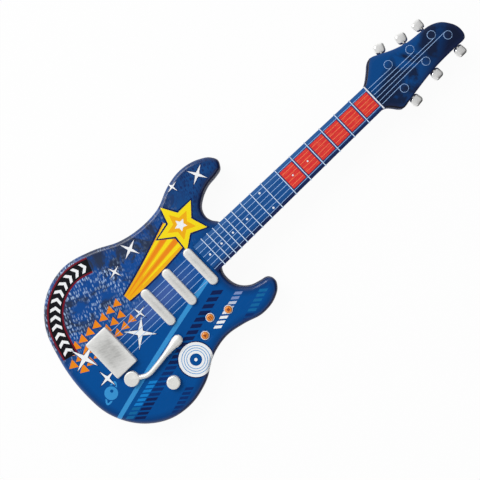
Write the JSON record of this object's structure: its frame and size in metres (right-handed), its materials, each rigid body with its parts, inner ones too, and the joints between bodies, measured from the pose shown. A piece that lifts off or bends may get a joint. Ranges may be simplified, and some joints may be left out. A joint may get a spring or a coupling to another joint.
{
  "type": "toy electric guitar",
  "caption": "Blue toy electric guitar with red fret buttons, orange effect buttons, whammy bar, volume knob, tuners, loudspeaker and a headphone-size audio socket.",
  "frame": {"origin": "on the flat back of the body, on the centre line of the neck, behind the middle pickup", "axes": "+X along the neck to the headstock, +Y to the bass side, +Z out of the front face"},
  "size_m": [0.6278, 0.225, 0.0481],
  "materials": {
    "blue_shell": "moulded plastic, printed",
    "back_shell": "moulded plastic",
    "white_trim": "moulded plastic",
    "string_line": "raised lines",
    "red_key": "moulded plastic",
    "silver_plastic": "silver painted plastic",
    "pale_plastic": "silver painted plastic",
    "orange_key": "moulded plastic",
    "silicone": "soft",
    "circuit_board": "green board",
    "black_plastic": "matte",
    "steel": "plated",
    "grille_plastic": "moulded plastic",
    "cell_wrap": "plain wrapper",
    "lead_cover": "wire cover"
  },
  "bodies": {
    "guitar": {"body_front": "blue_shell", "body_back": "back_shell", "neck_front": "blue_shell", "neck_back": "back_shell", "frets": "white_trim", "nut": "white_trim", "position_dots": "white_trim", "strings": "string_line", "fret_pad": "silicone", "neck_board": "circuit_board", "pickup_neck": "silver_plastic", "pickup_middle": "silver_plastic", "pickup_bridge": "silver_plastic", "bridge": "silver_plastic", "volume_pot": "steel", "pot_nut": "steel", "effect_bezels": "white_trim", "effect_pad": "silicone", "main_board": "circuit_board", "board_chips": "black_plastic", "board_screws": "steel", "speaker_frame": "steel", "speaker_cone": "black_plastic", "speaker_magnet": "steel", "speaker_grille": "grille_plastic", "batteries": "cell_wrap", "battery_contacts": "steel", "battery_door": "back_shell", "door_screw": "steel", "switch_body": "steel", "aux_jack": "black_plastic", "case_screws": "steel", "neck_screws": "steel", "inner_leads": "lead_cover"},
    "fret_button_1": {"fret_button_1": "red_key"},
    "fret_button_2": {"fret_button_2": "red_key"},
    "fret_button_3": {"fret_button_3": "red_key"},
    "fret_button_4": {"fret_button_4": "red_key"},
    "fret_button_5": {"fret_button_5": "red_key"},
    "fret_button_6": {"fret_button_6": "red_key"},
    "effect_button_1": {"effect_button_1": "orange_key"},
    "effect_button_2": {"effect_button_2": "orange_key"},
    "effect_button_3": {"effect_button_3": "orange_key"},
    "whammy": {"whammy_bar": "pale_plastic", "whammy_screw": "steel"},
    "volume": {"volume_knob": "pale_plastic"},
    "power": {"power_switch": "black_plastic"},
    "tuner_1": {"tuner_peg_1": "silver_plastic"},
    "tuner_2": {"tuner_peg_2": "silver_plastic"},
    "tuner_3": {"tuner_peg_3": "silver_plastic"},
    "tuner_4": {"tuner_peg_4": "silver_plastic"},
    "tuner_5": {"tuner_peg_5": "silver_plastic"},
    "tuner_6": {"tuner_peg_6": "silver_plastic"}
  },
  "joints": [
    {"name": "fret_press_1", "type": "slide", "parent": "guitar", "child": "fret_button_1", "axis": [0, 0, -1], "range_m": [0, 0.0015], "stiffness_N_per_m": 900, "springref_m": -0.0004, "deforming": ["fret_pad"]},
    {"name": "fret_press_2", "type": "slide", "parent": "guitar", "child": "fret_button_2", "axis": [0, 0, -1], "range_m": [0, 0.0015], "stiffness_N_per_m": 900, "springref_m": -0.0004, "deforming": ["fret_pad"]},
    {"name": "fret_press_3", "type": "slide", "parent": "guitar", "child": "fret_button_3", "axis": [0, 0, -1], "range_m": [0, 0.0015], "stiffness_N_per_m": 900, "springref_m": -0.0004, "deforming": ["fret_pad"]},
    {"name": "fret_press_4", "type": "slide", "parent": "guitar", "child": "fret_button_4", "axis": [0, 0, -1], "range_m": [0, 0.0015], "stiffness_N_per_m": 900, "springref_m": -0.0004, "deforming": ["fret_pad"]},
    {"name": "fret_press_5", "type": "slide", "parent": "guitar", "child": "fret_button_5", "axis": [0, 0, -1], "range_m": [0, 0.0015], "stiffness_N_per_m": 900, "springref_m": -0.0004, "deforming": ["fret_pad"]},
    {"name": "fret_press_6", "type": "slide", "parent": "guitar", "child": "fret_button_6", "axis": [0, 0, -1], "range_m": [0, 0.0015], "stiffness_N_per_m": 900, "springref_m": -0.0004, "deforming": ["fret_pad"]},
    {"name": "effect_press_1", "type": "slide", "parent": "guitar", "child": "effect_button_1", "axis": [0, 0, -1], "range_m": [0, 0.0012], "stiffness_N_per_m": 800, "springref_m": -0.0004, "deforming": ["effect_pad"]},
    {"name": "effect_press_2", "type": "slide", "parent": "guitar", "child": "effect_button_2", "axis": [0, 0, -1], "range_m": [0, 0.0012], "stiffness_N_per_m": 800, "springref_m": -0.0004, "deforming": ["effect_pad"]},
    {"name": "effect_press_3", "type": "slide", "parent": "guitar", "child": "effect_button_3", "axis": [0, 0, -1], "range_m": [0, 0.0012], "stiffness_N_per_m": 800, "springref_m": -0.0004, "deforming": ["effect_pad"]},
    {"name": "whammy_turn", "type": "hinge", "parent": "guitar", "child": "whammy", "pos_m": [-0.1164, -0.0427, 0.04], "axis": [0, 0, 1], "range_deg": [-12, 12], "stiffness_Nm_per_rad": 0.2},
    {"name": "volume_turn", "type": "hinge", "parent": "guitar", "child": "volume", "pos_m": [-0.0834, -0.08, 0.04], "axis": [0, 0, 1], "range_deg": [-280, 0]},
    {"name": "power_slide", "type": "slide", "parent": "guitar", "child": "power", "axis": [1, 0, 0], "range_m": [0, 0.004]},
    {"name": "tuner_turn_1", "type": "hinge", "parent": "guitar", "child": "tuner_1", "pos_m": [0.3628, 0.0168, 0.036], "axis": [0.342, 0.9397, 0], "continuous": true},
    {"name": "tuner_turn_2", "type": "hinge", "parent": "guitar", "child": "tuner_2", "pos_m": [0.394, 0.012, 0.036], "axis": [0.225, 0.9744, 0], "continuous": true},
    {"name": "tuner_turn_3", "type": "hinge", "parent": "guitar", "child": "tuner_3", "pos_m": [0.4245, 0.007, 0.036], "axis": [-0.0698, 0.9976, 0], "continuous": true},
    {"name": "tuner_turn_4", "type": "hinge", "parent": "guitar", "child": "tuner_4", "pos_m": [0.4388, -0.0068, 0.036], "axis": [0.0087, -1, 0], "continuous": true},
    {"name": "tuner_turn_5", "type": "hinge", "parent": "guitar", "child": "tuner_5", "pos_m": [0.3983, -0.0113, 0.036], "axis": [0.0523, -0.9986, 0], "continuous": true},
    {"name": "tuner_turn_6", "type": "hinge", "parent": "guitar", "child": "tuner_6", "pos_m": [0.3575, -0.0167, 0.036], "axis": [0.1219, -0.9925, 0], "continuous": true}
  ]
}
